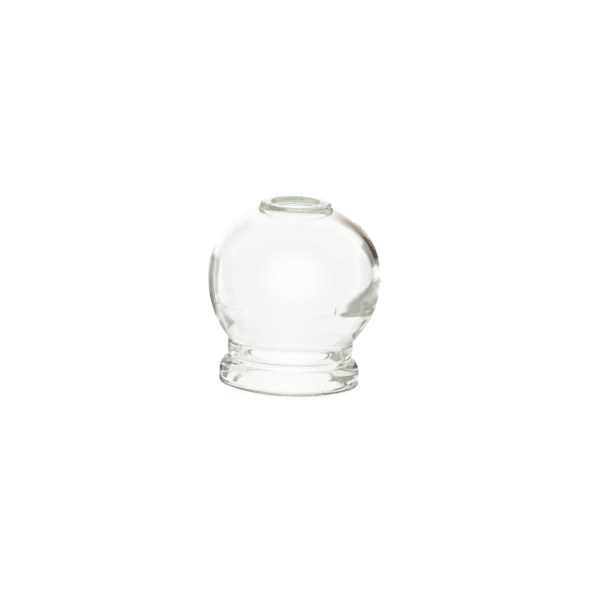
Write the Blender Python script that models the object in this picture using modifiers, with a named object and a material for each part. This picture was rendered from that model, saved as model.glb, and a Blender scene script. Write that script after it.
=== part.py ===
"""Fire cupping cup: one piece of clear pressed glass, turned about +Z.

The cup stands on its mouth. The origin is the centre of the mouth at the height where the lip rests,
+Z runs up the axis to the foot ring, and lengths are in metres.
"""

import math

import bmesh
import bpy

# Driving dimensions
CUP_HEIGHT = 0.080
BULB_RADIUS = 0.0376
BULB_CENTRE_HEIGHT = 0.047
RIM_RADIUS = 0.0305
NECK_RADIUS = 0.0272
FOOT_RADIUS = 0.0154
MOUTH_RADIUS = 0.0245
WALL = 0.0019
NECK_WALL = 0.0024
CROWN_THICKNESS = 0.0016

# Rim: the thick rolled lip round the mouth
LIP_EDGE = 0.0026
RIM_EDGE = 0.0012
RIM_SHOULDER_INNER = 0.0270
RIM_SHOULDER_HEIGHT = 0.0050
RIM_SHOULDER_RISE = 0.0056
RIM_SHOULDER_ANGLE = 78.0
CREASE_STEP = 0.0002
CREASE_HEIGHT = 0.0112
NECK_BOTTOM = 0.0134
NECK_TOP = 0.0152

# Bulb: two superellipse halves that meet at the widest circle
LOWER_DEPTH = 0.0390
LOWER_POWER = 2.06
LOWER_END_STEP = 0.0009
LOWER_END_PULL = 0.0014
NECK_TOP_PULL = 0.0027
UPPER_RISE = 0.0328
UPPER_POWER = 2.16
UPPER_END_STEP = 0.0010

# Foot ring: the raised ring on the crown, and the shallow bowl inside it
FOOT_EDGE = 0.0011
FOOT_LAND_INNER = 0.0125
RECESS_CURVE_INNER = 0.0100
RECESS_CURVE_OUTER = 0.0102
RECESS_FLOOR_RADIUS = 0.0080
RECESS_DEPTH = 0.0019

# Inner surface
LIP_WALL_TOP = 0.0036
INNER_NECK_BOTTOM = 0.0090
INNER_NECK_TOP = 0.0130
INNER_NECK_PULL = 0.0030
INNER_BULB_BOTTOM = 0.0300
INNER_BULB_PULL = 0.0058
INNER_POWER = 2.16

# Fineness of the turned solid
TURN_STEPS = 72
AXIS_MERGE = 0.00005


def arc(centre, radii, start, end, count, power=2.0):
    """Points from angle start to angle end, in degrees, of a superellipse round centre.

    power 2 is a plain ellipse, and a higher power is fuller at its corners.
    """
    points = []
    for i in range(count):
        angle = math.radians(start + (end - start) * i / (count - 1))
        across, up = math.cos(angle), math.sin(angle)
        points.append(
            (
                centre[0] + radii[0] * math.copysign(abs(across) ** (2 / power), across),
                centre[1] + radii[1] * math.copysign(abs(up) ** (2 / power), up),
            )
        )
    return points


def bezier(start, start_pull, end_pull, end, count):
    """The points inside a cubic Bezier curve, without its two ends."""
    points = []
    for i in range(1, count + 1):
        t = i / (count + 1)
        weights = ((1 - t) ** 3, 3 * t * (1 - t) ** 2, 3 * t * t * (1 - t), t**3)
        corners = (start, start_pull, end_pull, end)
        points.append(tuple(sum(w * c[k] for w, c in zip(weights, corners)) for k in (0, 1)))
    return points


def angle_at_radius(radius, reach, power):
    """The angle in degrees at which a superellipse of that reach and power has that radius."""
    return math.degrees(math.acos((radius / reach) ** (power / 2)))


def beyond(before, end, distance):
    """The point that lies a distance past end, on the line from before to end."""
    length = math.dist(before, end)
    return tuple(e + (e - b) * distance / length for b, e in zip(before, end))


def offset_inward(outline, thickness_at):
    """The points at a wall's thickness inside an outline, except for its two ends.

    The outline runs down the outside, and thickness_at gives the wall at a height.
    """
    points = []
    for before, here, after in zip(outline, outline[1:], outline[2:]):
        run, fall = after[0] - before[0], after[1] - before[1]
        length = math.hypot(run, fall)
        wall = thickness_at(here[1])
        points.append((here[0] + wall * fall / length, here[1] - wall * run / length))
    return points


def foot_profile():
    """From the middle of the recess out over the foot ring."""
    floor = CUP_HEIGHT - RECESS_DEPTH
    floor_edge = (RECESS_FLOOR_RADIUS, floor)
    land_edge = (FOOT_LAND_INNER, CUP_HEIGHT)
    points = [(0.0, floor), floor_edge]
    points += bezier(
        floor_edge,
        (RECESS_CURVE_INNER, floor),
        (RECESS_CURVE_OUTER, CUP_HEIGHT),
        land_edge,
        5,
    )
    points.append(land_edge)
    edge_centre = (FOOT_RADIUS - FOOT_EDGE, CUP_HEIGHT - FOOT_EDGE)
    return points + arc(edge_centre, (FOOT_EDGE, FOOT_EDGE), 90, 0, 5)


def upper_bulb():
    """Down the outside of the bulb, from beside the foot ring to the widest circle."""
    top = angle_at_radius(FOOT_RADIUS + UPPER_END_STEP, BULB_RADIUS, UPPER_POWER)
    centre = (0.0, BULB_CENTRE_HEIGHT)
    return arc(centre, (BULB_RADIUS, UPPER_RISE), top, 0, 12, UPPER_POWER)


def lower_bulb():
    """Down the outside of the bulb, from the widest circle to the top of the neck."""
    bottom = -angle_at_radius(NECK_RADIUS + LOWER_END_STEP, BULB_RADIUS, LOWER_POWER)
    centre = (0.0, BULB_CENTRE_HEIGHT)
    points = arc(centre, (BULB_RADIUS, LOWER_DEPTH), 0, bottom, 9, LOWER_POWER)
    leave = beyond(points[-2], points[-1], LOWER_END_PULL)
    arrive = (NECK_RADIUS, NECK_TOP + NECK_TOP_PULL)
    neck_top = (NECK_RADIUS, NECK_TOP)
    return points + bezier(points[-1], leave, arrive, neck_top, 3) + [neck_top]


def rim_profile():
    """Down the neck, over the crease, and round the rim to the flat where the lip rests."""
    points = [(NECK_RADIUS, NECK_BOTTOM), (NECK_RADIUS - CREASE_STEP, CREASE_HEIGHT)]
    points += arc(
        (RIM_SHOULDER_INNER, RIM_SHOULDER_HEIGHT),
        (RIM_RADIUS - RIM_SHOULDER_INNER, RIM_SHOULDER_RISE),
        RIM_SHOULDER_ANGLE,
        0,
        6,
    )
    points += arc((RIM_RADIUS - RIM_EDGE, RIM_EDGE), (RIM_EDGE, RIM_EDGE), 0, -90, 4)
    return points + [(MOUTH_RADIUS + LIP_EDGE, 0.0)]


def wall_at(height):
    """The glass thins evenly from the top of the neck to the widest circle."""
    rise = (height - NECK_TOP) / (BULB_CENTRE_HEIGHT - NECK_TOP)
    return NECK_WALL + (WALL - NECK_WALL) * min(max(rise, 0.0), 1.0)


def inner_rim():
    """Up the inside, round the lip and over the ledge to the top of the neck's straight wall."""
    points = arc((MOUTH_RADIUS + LIP_EDGE, LIP_EDGE), (LIP_EDGE, LIP_EDGE), -90, -180, 4)[1:]
    lip_top = (MOUTH_RADIUS, LIP_WALL_TOP)
    inner_neck = NECK_RADIUS - NECK_WALL
    neck_bottom = (inner_neck, INNER_NECK_BOTTOM)
    leave = (MOUTH_RADIUS, LIP_WALL_TOP + INNER_NECK_PULL)
    arrive = (inner_neck, INNER_NECK_BOTTOM - INNER_NECK_PULL)
    points.append(lip_top)
    points += bezier(lip_top, leave, arrive, neck_bottom, 4)
    return points + [neck_bottom, (inner_neck, INNER_NECK_TOP)]


def inner_bulb(start):
    """Up the inside, from the top of the neck's straight wall to the middle of the crown."""
    walls = offset_inward(lower_bulb(), wall_at)[::-1]
    lower = [point for point in walls if point[1] > INNER_BULB_BOTTOM]
    leave = (start[0], start[1] + INNER_BULB_PULL)
    arrive = beyond(lower[1], lower[0], INNER_BULB_PULL)
    points = bezier(start, leave, arrive, lower[0], 7)
    rise = CUP_HEIGHT - RECESS_DEPTH - CROWN_THICKNESS - BULB_CENTRE_HEIGHT
    upper = arc((0.0, BULB_CENTRE_HEIGHT), (BULB_RADIUS - WALL, rise), 0, 90, 13, INNER_POWER)
    upper[-1] = (0.0, BULB_CENTRE_HEIGHT + rise)
    return points + lower + upper


def inner_profile():
    """Up the inside, from the lip to the middle of the crown."""
    rim = inner_rim()
    return rim + inner_bulb(rim[-1])


def turned(name, outline, material):
    """An object whose profile is turned a full circle about +Z."""
    mesh = bpy.data.meshes.new(name)
    shape = bmesh.new()
    corners = [shape.verts.new((radius, 0.0, height)) for radius, height in outline]
    for here, there in zip(corners, corners[1:]):
        shape.edges.new((here, there))
    shape.to_mesh(mesh)
    shape.free()
    mesh.materials.append(material)
    piece = bpy.data.objects.new(name, mesh)
    screw = piece.modifiers.new("Turn", "SCREW")
    screw.steps = TURN_STEPS
    screw.render_steps = TURN_STEPS
    screw.use_merge_vertices = True
    screw.merge_threshold = AXIS_MERGE
    screw.use_smooth_shade = True
    return piece


def clear_glass():
    """Clear soda-lime glass with a faint green cast."""
    material = bpy.data.materials.new("clear_glass")
    material.use_nodes = True
    shader = material.node_tree.nodes["Principled BSDF"]
    shader.inputs["Base Color"].default_value = (0.93, 0.96, 0.93, 1.0)
    shader.inputs["Roughness"].default_value = 0.02
    shader.inputs["Metallic"].default_value = 0.0
    shader.inputs["IOR"].default_value = 1.52
    shader.inputs["Transmission Weight"].default_value = 1.0
    return material


def main():
    for old in list(bpy.data.objects):
        bpy.data.objects.remove(old, do_unlink=True)
    collection = bpy.data.collections.new("cupping_cup")
    bpy.context.scene.collection.children.link(collection)
    outline = foot_profile() + upper_bulb() + lower_bulb()[1:] + rim_profile() + inner_profile()
    collection.objects.link(turned("glass_cup", outline, clear_glass()))


main()
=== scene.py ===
"""The looks of a glass fire cupping cup: clear glass in a bright white studio."""
import math

import bmesh
import bpy
from mathutils import Matrix, Vector, noise


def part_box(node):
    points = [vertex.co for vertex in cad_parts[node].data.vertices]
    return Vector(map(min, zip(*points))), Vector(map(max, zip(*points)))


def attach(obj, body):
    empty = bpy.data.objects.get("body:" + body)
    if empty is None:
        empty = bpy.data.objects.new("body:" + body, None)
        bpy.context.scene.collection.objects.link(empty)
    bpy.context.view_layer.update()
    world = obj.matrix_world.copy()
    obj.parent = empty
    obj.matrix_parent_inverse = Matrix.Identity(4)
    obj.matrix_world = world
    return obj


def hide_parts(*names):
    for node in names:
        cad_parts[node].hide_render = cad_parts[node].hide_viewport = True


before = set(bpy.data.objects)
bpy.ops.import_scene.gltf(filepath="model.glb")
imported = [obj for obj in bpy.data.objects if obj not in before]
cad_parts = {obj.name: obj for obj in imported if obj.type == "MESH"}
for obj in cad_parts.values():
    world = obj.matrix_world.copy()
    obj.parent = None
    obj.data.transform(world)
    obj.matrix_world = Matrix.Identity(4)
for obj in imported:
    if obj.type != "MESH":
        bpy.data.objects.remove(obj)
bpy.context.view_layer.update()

LOW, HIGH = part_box("glass_cup")

# Outline of the cup in metres: the profile of the CAD part, drawn with more points
CUP_HEIGHT = HIGH[2] - LOW[2]
BULB_RADIUS = (HIGH[0] - LOW[0]) / 2
BULB_CENTRE_HEIGHT = 0.0470
RIM_RADIUS = 0.0305
NECK_RADIUS = 0.0272
FOOT_RADIUS = 0.0154
MOUTH_RADIUS = 0.0245
WALL = 0.0019
NECK_WALL = 0.0024
NECK_WALL_TOP = 0.0150
CROWN_THICKNESS = 0.0016

# Rim: the thick rolled lip round the mouth
LIP_EDGE = 0.0026
RIM_EDGE = 0.0012
RIM_SHOULDER_INNER = 0.0270
RIM_SHOULDER_HEIGHT = 0.0050
RIM_SHOULDER_RISE = 0.0056
RIM_SHOULDER_ANGLE = 78
RIM_SHOULDER_PULL = 0.0003

# Neck, which steps in to a crease above the rim
NECK_STEP = 0.0001
NECK_TOP = 0.0152
NECK_TOP_PULL = 0.0027
NECK_BOTTOM = 0.0140
CREASE_STEP = 0.0002
CREASE_BEND = 0.0132
CREASE_TOP = 0.0124
CREASE_BOTTOM = 0.0112
CREASE_PULL = 0.0005

# Bulb: two superellipse halves that meet at the widest circle
LOWER_DEPTH = 0.0390
LOWER_POWER = 2.06
LOWER_END_STEP = 0.0009
LOWER_END_PULL = 0.0014
UPPER_RISE = 0.0328
UPPER_POWER = 2.16
UPPER_END_STEP = 0.0010
UPPER_END_PULL = 0.0007

# Foot ring: the raised ring on the crown, and the shallow bowl inside it
FOOT_EDGE = 0.0011
FOOT_PULL = 0.0008
FOOT_LAND_INNER = 0.0125
RECESS_CURVE_INNER = 0.0100
RECESS_CURVE_OUTER = 0.0102
RECESS_FLOOR_RADIUS = 0.0080
RECESS_DEPTH = 0.0019

# Inner surface
LIP_WALL_TOP = 0.0036
INNER_NECK_BOTTOM = 0.0090
INNER_NECK_TOP = 0.0130
INNER_NECK_PULL = 0.0030
INNER_BULB_BOTTOM = 0.0300
INNER_BULB_PULL = 0.0058
INNER_POWER = 2.16

# Turned mesh
TURN_STEPS = 200
SEAM_STEPS = 8
SEAM_STEP = math.radians(0.25)

# Mould seams on the outside; azimuths run from the front towards +X
SEAM_AZIMUTHS = math.radians(30), math.radians(210)
SEAM_WIDTH = 0.00045
SEAM_HEIGHT = 0.00007

# Unevenness of the blown inside. A fade is a pair of heights or radii, in metres, between which
# something comes in or goes out.
BULB_OFFSET = 0.0006
BULB_OFFSET_IN = 0.0120, 0.0400
BULB_OFFSET_OUT = 0.0560, 0.0760
CHILL_HEIGHT = 0.0365
CHILL_WANDER = 0.0012
CHILL_SOFTNESS = 0.0007
CHILL_STEP = 0.00030
CHILL_FADE = 0.0160, 0.0300
RIPPLE_HEIGHT = 0.00003
RIPPLE_IN = 0.0160, 0.0260
RIPPLE_OUT = 0.0620, 0.0740
STREAK_HEIGHT = 0.00004
STREAK_LEVEL = CHILL_HEIGHT - 0.0010
STREAK_BAND = 0.0045
CROWN_FADE = 0.0040, 0.0160
RECESS_FADE = 0.0120, 0.0140
THICK_PATCHES = (
    # azimuth, half width, height, half height above and below it, extra glass
    (math.radians(52), math.radians(38), 0.0345, 0.0090, 0.0048, 0.0017),
    (math.radians(-92), math.radians(36), 0.0500, 0.0060, 0.0060, 0.0002),
)

# Glass
GLASS_INDEX = 1.52
GLASS_CAST = (0.80, 0.84, 0.76)
GLASS_ABSORPTION = 24.0
LIGHT_BOUNCES = 32

# Studio
FLOOR_DROP = 0.0002
FLOOR_HALF_WIDTH = 6
BACKDROP_RADIUS = 4

# Camera
CAMERA_DISTANCE = 1.5
CAMERA_ELEVATION = math.radians(11.5)
CAMERA_ROLL = math.radians(2.4)
CAMERA_AIM = Vector((0.0012, 0, 0.0387))
VIEW_WIDTH = 0.2569
SENSOR_WIDTH = 36

# What stands round the cup, and painted shade under it, as directions seen from it: clock angle (0 right,
# 90 up), angle away from straight behind the cup, softness of both (all in degrees), colour. Away 180 is
# straight in front.
SURROUNDINGS_AND_PAINTED_SHADE = (
    ((-180, 180), (80, 180), (1, 40), (0.54, 0.55, 0.49)),
    ((-180, 180), (142, 180), (1, 56), (1.0, 1.0, 1.0)),
    ((50, 130), (50, 110), (30, 30), (0.95, 0.95, 0.94)),
    # Painted shade: grey-green round straight down, standing in for the floor's shadow under the cup, which
    # the glass sees here in place of the floor
    ((-130, -50), (60, 95), (30, 14), (0.50, 0.52, 0.48)),
    ((-12, 22), (48, 78), (8, 8), (0.24, 0.22, 0.17)),
    ((-176, -140), (15, 34), (8, 4), (0.62, 0.64, 0.60)),
    ((168, 198), (12, 34), (12, 3), (0.29, 0.31, 0.27)),
    ((-52, -12), (13, 60), (6, 4), (0.36, 0.38, 0.31)),
    ((44, 64), (23, 45), (14, 4), (0.36, 0.27, 0.18)),
    ((20, 48), (12, 45), (6, 3), (0.07, 0.05, 0.035)),
)


def arc(centre, radii, start, end, count, power=2.0):
    """Points along a superellipse from one angle to another, both in degrees."""
    points = []
    for step in range(count):
        angle = math.radians(start + (end - start) * step / (count - 1))
        cos, sin = math.cos(angle), math.sin(angle)
        points.append((
            centre[0] + radii[0] * math.copysign(abs(cos) ** (2 / power), cos),
            centre[1] + radii[1] * math.copysign(abs(sin) ** (2 / power), sin),
        ))
    return points


def bezier(start, start_handle, end_handle, end, count):
    """Points of a cubic between two knots, without the knots."""
    points = []
    for step in range(1, count + 1):
        t = step / (count + 1)
        weights = ((1 - t) ** 3, 3 * t * (1 - t) ** 2, 3 * t * t * (1 - t), t ** 3)
        knots = (start, start_handle, end_handle, end)
        points.append(tuple(sum(w * k[axis] for w, k in zip(weights, knots)) for axis in (0, 1)))
    return points


def line(start, end, count):
    """Evenly spaced points from start to end, without the start."""
    return [tuple(Vector(start).lerp(Vector(end), (i + 1) / count)) for i in range(count)]


def angle_at_radius(radius, reach, power):
    """The superellipse angle at which the curve has this radius."""
    return math.degrees(math.acos((radius / reach) ** (power / 2)))


def tangent(first, second, pull):
    """A handle that leaves first, away from second."""
    direction = (Vector(first) - Vector(second)).normalized()
    return tuple(Vector(first) + direction * pull)


def foot_outline():
    """The raised ring on the crown, from the middle of its recess to its outer foot."""
    floor = CUP_HEIGHT - RECESS_DEPTH
    floor_end = (RECESS_FLOOR_RADIUS, floor)
    land_start = (FOOT_LAND_INNER, CUP_HEIGHT)
    land_end = (FOOT_RADIUS - FOOT_EDGE, CUP_HEIGHT)
    points = [(0.0, floor)] + line((0.0, floor), floor_end, 10)
    points += bezier(floor_end, (RECESS_CURVE_INNER, floor), (RECESS_CURVE_OUTER, CUP_HEIGHT), land_start, 14)
    points += [land_start] + line(land_start, land_end, 3)
    edge_centre = (land_end[0], CUP_HEIGHT - FOOT_EDGE)
    return points + arc(edge_centre, (FOOT_EDGE, FOOT_EDGE), 90, 0, 10)[1:]


def upper_bulb():
    """The outside of the bulb from the ring down to its widest line."""
    top = angle_at_radius(FOOT_RADIUS + UPPER_END_STEP, BULB_RADIUS, UPPER_POWER)
    return arc((0.0, BULB_CENTRE_HEIGHT), (BULB_RADIUS, UPPER_RISE), top, 0, 50, UPPER_POWER)


def lower_bulb():
    """The outside from the widest line down to the top of the neck."""
    bottom = -angle_at_radius(NECK_RADIUS + LOWER_END_STEP, BULB_RADIUS, LOWER_POWER)
    points = arc((0.0, BULB_CENTRE_HEIGHT), (BULB_RADIUS, LOWER_DEPTH), 0, bottom, 44, LOWER_POWER)
    neck_top = (NECK_RADIUS + NECK_STEP, NECK_TOP)
    leave = tangent(points[-1], points[-2], LOWER_END_PULL)
    arrive = (neck_top[0], NECK_TOP + NECK_TOP_PULL)
    return points + bezier(points[-1], leave, arrive, neck_top, 12) + [neck_top]


def rim_outline():
    """The neck and the thick rim, down to the lip."""
    neck, crease = NECK_RADIUS + NECK_STEP, NECK_RADIUS - CREASE_STEP
    points = line((neck, NECK_TOP), (neck, NECK_BOTTOM), 2)
    points += bezier(points[-1], (neck, CREASE_BEND), (crease, CREASE_BEND), (crease, CREASE_TOP), 5)
    points += [(crease, CREASE_TOP)] + line((crease, CREASE_TOP), (crease, CREASE_BOTTOM), 3)
    shoulder_radii = (RIM_RADIUS - RIM_SHOULDER_INNER, RIM_SHOULDER_RISE)
    shoulder = arc((RIM_SHOULDER_INNER, RIM_SHOULDER_HEIGHT), shoulder_radii, RIM_SHOULDER_ANGLE, 0, 22)
    leave = (crease, CREASE_BOTTOM - CREASE_PULL)
    arrive = tangent(shoulder[0], shoulder[1], RIM_SHOULDER_PULL)
    points += bezier((crease, CREASE_BOTTOM), leave, arrive, shoulder[0], 6)
    points += shoulder + line(shoulder[-1], (RIM_RADIUS, RIM_EDGE), 6)
    points += arc((RIM_RADIUS - RIM_EDGE, RIM_EDGE), (RIM_EDGE, RIM_EDGE), 0, -90, 10)[1:]
    return points + line(points[-1], (MOUTH_RADIUS + LIP_EDGE, 0.0), 8)


def wall_at(height):
    """Thickness of the glass from the neck up to the widest line of the bulb."""
    lift = min(max((height - NECK_WALL_TOP) / (BULB_CENTRE_HEIGHT - NECK_WALL_TOP), 0.0), 1.0)
    return NECK_WALL + (WALL - NECK_WALL) * lift


def inset(points):
    """The inner surface under an outer one, at the thickness the wall has there."""
    inner = []
    for before, point, after in zip(points, points[1:], points[2:]):
        along = (Vector(after) - Vector(before)).normalized()
        inward = Vector((along.y, -along.x))
        inner.append(tuple(Vector(point) + inward * wall_at(point[1])))
    return inner


def inner_rim():
    """Up the inside, from the lip to the top of the neck's straight wall."""
    neck = NECK_RADIUS - NECK_WALL
    points = arc((MOUTH_RADIUS + LIP_EDGE, LIP_EDGE), (LIP_EDGE, LIP_EDGE), -90, -180, 10)[1:]
    points += line(points[-1], (MOUTH_RADIUS, LIP_WALL_TOP), 3)
    leave = (MOUTH_RADIUS, LIP_WALL_TOP + INNER_NECK_PULL)
    arrive = (neck, INNER_NECK_BOTTOM - INNER_NECK_PULL)
    points += bezier(points[-1], leave, arrive, (neck, INNER_NECK_BOTTOM), 12)
    return points + [(neck, INNER_NECK_BOTTOM)] + line((neck, INNER_NECK_BOTTOM), (neck, INNER_NECK_TOP), 4)


def inner_bulb(start):
    """On up the inside, from the neck to the middle of the crown."""
    lower = [point for point in inset(lower_bulb())[::-1] if point[1] > INNER_BULB_BOTTOM]
    leave = (start[0], start[1] + INNER_BULB_PULL)
    arrive = tangent(lower[0], lower[1], INNER_BULB_PULL)
    rise = CUP_HEIGHT - RECESS_DEPTH - CROWN_THICKNESS - BULB_CENTRE_HEIGHT
    upper = arc((0.0, BULB_CENTRE_HEIGHT), (BULB_RADIUS - WALL, rise), 0, 90, 60, INNER_POWER)
    upper[-1] = (0.0, upper[-1][1])
    return bezier(start, leave, arrive, lower[0], 12) + lower + upper


def inner_outline():
    """The inside, from the lip up to the middle of the crown."""
    rim = inner_rim()
    return rim + inner_bulb(rim[-1])


def outer_outline():
    """The outside, from the middle of the foot recess down to the lip."""
    foot, bulb = foot_outline(), upper_bulb()
    leave = (foot[-1][0], foot[-1][1] - FOOT_PULL)
    fillet = bezier(foot[-1], leave, tangent(bulb[0], bulb[1], UPPER_END_PULL), bulb[0], 8)
    return foot + fillet + bulb + lower_bulb()[1:] + rim_outline()


def ease(value, low, high):
    """0 below low and 1 above high, with a smooth change between."""
    t = min(max((value - low) / (high - low), 0.0), 1.0)
    return t * t * (3 - 2 * t)


def hump(value, width):
    """A soft bump of height 1 at 0."""
    return math.exp(-(value / width) ** 2)


def turn_between(first, second):
    """The shorter turn from the second azimuth to the first."""
    return (first - second + math.pi) % math.tau - math.pi


def ripple(azimuth, height, scale, seed, stretch=1.0):
    """Smooth noise on the wall; stretch above 1 draws it out round the cup."""
    place = Vector((math.sin(azimuth) / stretch, math.cos(azimuth) / stretch, height / BULB_RADIUS))
    return noise.noise(place * (BULB_RADIUS / scale) + Vector((seed, 0.0, 0.0)))


def chill_wall(azimuth, height):
    """The faint step in the wall where the bulb was chilled, stronger in some places round it."""
    level = CHILL_HEIGHT + CHILL_WANDER * ripple(azimuth, 0.0, scale=0.012, seed=3.0)
    below = 1 - ease(height, level - CHILL_SOFTNESS, level + CHILL_SOFTNESS)
    strength = 0.35 + 0.9 * abs(ripple(azimuth, 0.0, scale=0.017, seed=5.0))
    return CHILL_STEP * strength * below * ease(height, *CHILL_FADE)


def thick_patches(azimuth, height):
    """Extra glass in a few local patches."""
    extra = 0.0
    for centre, half_width, level, rise, fall, amount in THICK_PATCHES:
        swell = hump(height - level, rise if height > level else fall)
        extra += amount * hump(turn_between(azimuth, centre), half_width) * swell
    return extra


def extra_wall(azimuth, height):
    """Glass that the blown inside has over the plain outline."""
    bulb = ease(height, *RIPPLE_IN) * (1 - ease(height, *RIPPLE_OUT))
    waves = RIPPLE_HEIGHT * ripple(azimuth, height, scale=0.020, seed=7.0)
    streaks = STREAK_HEIGHT * ripple(azimuth, height, scale=0.0022, seed=11.0, stretch=3.0)
    waves += streaks * hump(height - STREAK_LEVEL, STREAK_BAND)
    return chill_wall(azimuth, height) + thick_patches(azimuth, height) + bulb * waves


def seam_ridge(azimuth, radius, height):
    """How far the two mould seams stand out of the outside."""
    across = min(abs(turn_between(azimuth, seam)) for seam in SEAM_AZIMUTHS) * radius
    strength = max(0.2 + 1.8 * ripple(0.0, height, scale=0.006, seed=19.0), 0.0)
    return SEAM_HEIGHT * strength * hump(across, SEAM_WIDTH)


def blown_point(azimuth, radius, height, inside):
    """Where a point of the plain outline ends up on the real, slightly uneven cup."""
    if inside:
        radius = max(radius - extra_wall(azimuth, height) * ease(radius, *CROWN_FADE), 0.0)
    else:
        radius += seam_ridge(azimuth, radius, height) * ease(radius, *RECESS_FADE)
    shift = BULB_OFFSET * ease(height, *BULB_OFFSET_IN) * (1 - ease(height, *BULB_OFFSET_OUT))
    return radius * math.sin(azimuth) + shift, -radius * math.cos(azimuth), height


def turn_azimuths():
    """Even steps round the axis, with finer ones across each seam."""
    steps = {round(math.tau * step / TURN_STEPS, 6) for step in range(TURN_STEPS)}
    for seam in SEAM_AZIMUTHS:
        steps |= {round(seam + SEAM_STEP * offset, 6) for offset in range(-SEAM_STEPS, SEAM_STEPS + 1)}
    return sorted(steps)


def turned(name, outside, inside):
    """A closed body round Z; both outlines start or end on the axis, and they meet at the lip."""
    azimuths = turn_azimuths()
    count = len(azimuths)
    rings = [(radius, height, False) for radius, height in outside]
    rings += [(radius, height, True) for radius, height in inside]
    places = [(0.0, 0.0, rings[0][1])]
    for radius, height, inner in rings[1:-1]:
        places += [blown_point(azimuth, radius, height, inner) for azimuth in azimuths]
    places.append((0.0, 0.0, rings[-1][1]))
    grid = [[1 + ring * count + column for column in range(count)] for ring in range(len(rings) - 2)]
    grid = [[0] * count] + grid + [[len(places) - 1] * count]
    faces = []
    for upper, lower in zip(grid, grid[1:]):
        for column in range(count):
            following = (column + 1) % count
            corners = (upper[column], lower[column], lower[following], upper[following])
            faces.append(tuple(dict.fromkeys(corners)))
    mesh = bpy.data.meshes.new(name)
    mesh.from_pydata(places, [], faces)
    mesh.shade_smooth()
    piece = bpy.data.objects.new(name, mesh)
    bpy.context.scene.collection.objects.link(piece)
    return piece


def new_material(name):
    """A material with nodes, and its shader."""
    material = bpy.data.materials.new(name)
    material.use_nodes = True
    return material, material.node_tree.nodes["Principled BSDF"]


def uneven(material, scale, roughness, height):
    """Patchy roughness between two values and a fine bump, both from noise on the object itself."""
    nodes, links = material.node_tree.nodes, material.node_tree.links
    shader = nodes["Principled BSDF"]
    place = nodes.new("ShaderNodeTexCoord")
    grain = nodes.new("ShaderNodeTexNoise")
    grain.inputs["Scale"].default_value = scale
    grain.inputs["Detail"].default_value = 3.0
    links.new(place.outputs["Object"], grain.inputs["Vector"])
    spread = nodes.new("ShaderNodeMapRange")
    spread.inputs["To Min"].default_value, spread.inputs["To Max"].default_value = roughness
    links.new(grain.outputs[0], spread.inputs["Value"])
    links.new(spread.outputs[0], shader.inputs["Roughness"])
    bump = nodes.new("ShaderNodeBump")
    bump.inputs["Distance"].default_value = height
    links.new(grain.outputs[0], bump.inputs["Height"])
    links.new(bump.outputs["Normal"], shader.inputs["Normal"])


def glass_material():
    """Clear glass with a faint green cast where it is thick."""
    material, shader = new_material("clear_glass")
    nodes, links = material.node_tree.nodes, material.node_tree.links
    shader.inputs["Base Color"].default_value = (1.0, 1.0, 1.0, 1)
    shader.inputs["IOR"].default_value = GLASS_INDEX
    shader.inputs["Transmission Weight"].default_value = 1.0
    absorb = nodes.new("ShaderNodeVolumeAbsorption")
    absorb.inputs["Color"].default_value = (*GLASS_CAST, 1)
    absorb.inputs["Density"].default_value = GLASS_ABSORPTION
    links.new(absorb.outputs["Volume"], nodes["Material Output"].inputs["Volume"])
    uneven(material, scale=130.0, roughness=(0.0, 0.008), height=0.000006)
    return material


def white_material(name, grey, glow):
    """A white surface that gives its own light besides what it reflects."""
    material, shader = new_material(name)
    shader.inputs["Base Color"].default_value = (grey, grey, grey, 1)
    shader.inputs["Emission Color"].default_value = (1, 1, 1, 1)
    shader.inputs["Emission Strength"].default_value = glow
    return material


def build_cup():
    """The cup itself, in place of the CAD's coarser one."""
    cup = turned("glass_cup_fine", outer_outline(), inner_outline())
    cup.data.materials.append(glass_material())
    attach(cup, "root")
    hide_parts("glass_cup")


def stage_object(name, shape, material):
    """An object of the studio, from a filled bmesh, which the glass neither reflects nor shows."""
    mesh = bpy.data.meshes.new(name)
    shape.to_mesh(mesh)
    shape.free()
    mesh.materials.append(material)
    piece = bpy.data.objects.new(name, mesh)
    piece.visible_transmission = False
    piece.visible_glossy = False
    bpy.context.scene.collection.objects.link(piece)
    return piece


def build_floor():
    """A pale floor just under the lip."""
    shape = bmesh.new()
    bmesh.ops.create_grid(shape, x_segments=1, y_segments=1, size=FLOOR_HALF_WIDTH)
    material = white_material("white_paper", grey=0.25, glow=0.85)
    uneven(material, scale=400.0, roughness=(0.80, 1.0), height=0.00002)
    floor = stage_object("studio_floor", shape, material)
    floor.location.z = -FLOOR_DROP


def build_backdrop():
    """A white dome round the table, which only the camera sees."""
    shape = bmesh.new()
    bmesh.ops.create_uvsphere(shape, u_segments=32, v_segments=16, radius=BACKDROP_RADIUS)
    material = white_material("white_backdrop", grey=0, glow=1.1)
    uneven(material, scale=1.0, roughness=(0.90, 1.0), height=0.001)
    backdrop = stage_object("studio_backdrop", shape, material)
    backdrop.visible_diffuse = False
    backdrop.visible_volume_scatter = False
    backdrop.visible_shadow = False


def node_math(nodes, links, operation, *values):
    """A math node on sockets or plain numbers; returns its output."""
    node = nodes.new("ShaderNodeMath")
    node.operation = operation
    for socket, value in zip(node.inputs, values):
        if isinstance(value, (int, float)):
            socket.default_value = value
        else:
            links.new(value, socket)
    return node.outputs[0]


def inside_range(nodes, links, distance, half_width, softness):
    """1 where the distance is within the half width, fading to 0 over the softness."""
    fade = nodes.new("ShaderNodeMapRange")
    fade.interpolation_type = "SMOOTHSTEP"
    fade.inputs["From Min"].default_value = half_width + softness / 2
    fade.inputs["From Max"].default_value = half_width - softness / 2
    links.new(node_math(nodes, links, "ABSOLUTE", distance), fade.inputs["Value"])
    return fade.outputs[0]


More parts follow.
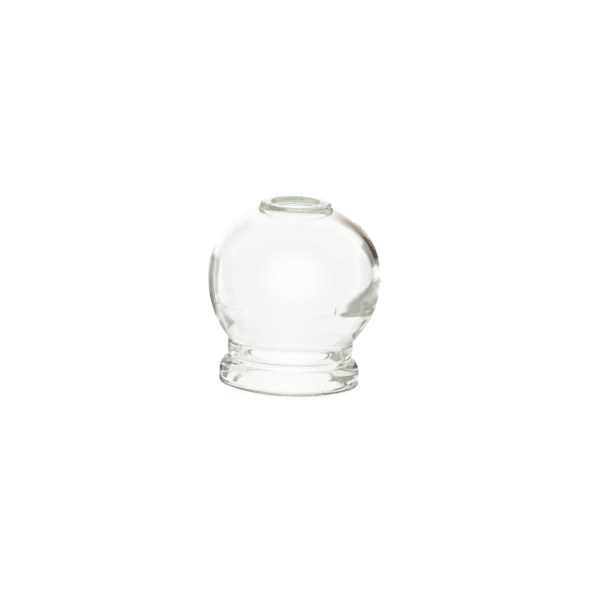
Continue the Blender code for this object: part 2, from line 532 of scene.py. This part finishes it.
def clock_and_away(nodes, links):
    """The two angles of a direction round straight behind the cup, in degrees."""
    direction = nodes.new("ShaderNodeTexCoord")
    level = nodes.new("ShaderNodeVectorRotate")
    level.rotation_type = "X_AXIS"
    level.inputs["Angle"].default_value = CAMERA_ELEVATION
    links.new(direction.outputs["Generated"], level.inputs["Vector"])
    split = nodes.new("ShaderNodeSeparateXYZ")
    links.new(level.outputs["Vector"], split.inputs[0])
    clock = node_math(nodes, links, "ARCTAN2", split.outputs["Z"], split.outputs["X"])
    away = node_math(nodes, links, "ARCCOSINE", split.outputs["Y"])
    return [node_math(nodes, links, "DEGREES", angle) for angle in (clock, away)]


def patch_mask(nodes, links, clock, away, clocks, aways, softness):
    """1 inside a patch of the surroundings and 0 outside it."""
    turn = node_math(nodes, links, "SUBTRACT", clock, sum(clocks) / 2)
    turn = node_math(nodes, links, "WRAP", turn, 180, -180)
    reach = node_math(nodes, links, "SUBTRACT", away, sum(aways) / 2)
    half_turn = (clocks[1] - clocks[0] + softness[0]) / 2
    round_about = inside_range(nodes, links, turn, half_turn, softness[0])
    outward = inside_range(nodes, links, reach, (aways[1] - aways[0]) / 2, softness[1])
    return node_math(nodes, links, "MULTIPLY", round_about, outward)


def build_world():
    """A white studio with the darker things that a glass cup picks up round its edges, and painted shade
    straight down in place of the floor's shadow under the cup.
    """
    world = bpy.data.worlds.new("studio")
    bpy.context.scene.world = world
    world.use_nodes = True
    nodes, links = world.node_tree.nodes, world.node_tree.links
    clock, away = clock_and_away(nodes, links)
    colour = None
    for clocks, aways, softness, tint in SURROUNDINGS_AND_PAINTED_SHADE:
        mix = nodes.new("ShaderNodeMix")
        mix.data_type = "RGBA"
        links.new(patch_mask(nodes, links, clock, away, clocks, aways, softness), mix.inputs["Factor"])
        if colour is None:
            mix.inputs["A"].default_value = (1.0, 1.0, 1.0, 1)
        else:
            links.new(colour, mix.inputs["A"])
        mix.inputs["B"].default_value = (*tint, 1)
        colour = mix.outputs["Result"]
    links.new(colour, nodes["Background"].inputs["Color"])


def build_camera():
    """The camera, in front of the cup and a little above it."""
    back = Vector((0, -math.cos(CAMERA_ELEVATION), math.sin(CAMERA_ELEVATION)))
    camera = bpy.data.objects.new("camera", bpy.data.cameras.new("camera"))
    bpy.context.scene.collection.objects.link(camera)
    camera.data.sensor_width = SENSOR_WIDTH
    camera.data.lens = SENSOR_WIDTH * CAMERA_DISTANCE / VIEW_WIDTH
    camera.data.clip_start = 0.01
    camera.location = CAMERA_AIM + back * CAMERA_DISTANCE
    turn = (-back).to_track_quat("-Z", "Y").to_matrix() @ Matrix.Rotation(CAMERA_ROLL, 3, "Z")
    camera.rotation_euler = turn.to_euler()
    bpy.context.scene.camera = camera


def set_look():
    """Plain tones, and enough bounces for light to get through every wall of the glass."""
    bpy.context.scene.view_settings.view_transform = "Standard"
    cycles = bpy.context.scene.cycles
    cycles.max_bounces = LIGHT_BOUNCES
    cycles.glossy_bounces = LIGHT_BOUNCES
    cycles.transmission_bounces = LIGHT_BOUNCES


build_cup()
build_floor()
build_backdrop()
build_world()
build_camera()
set_look()
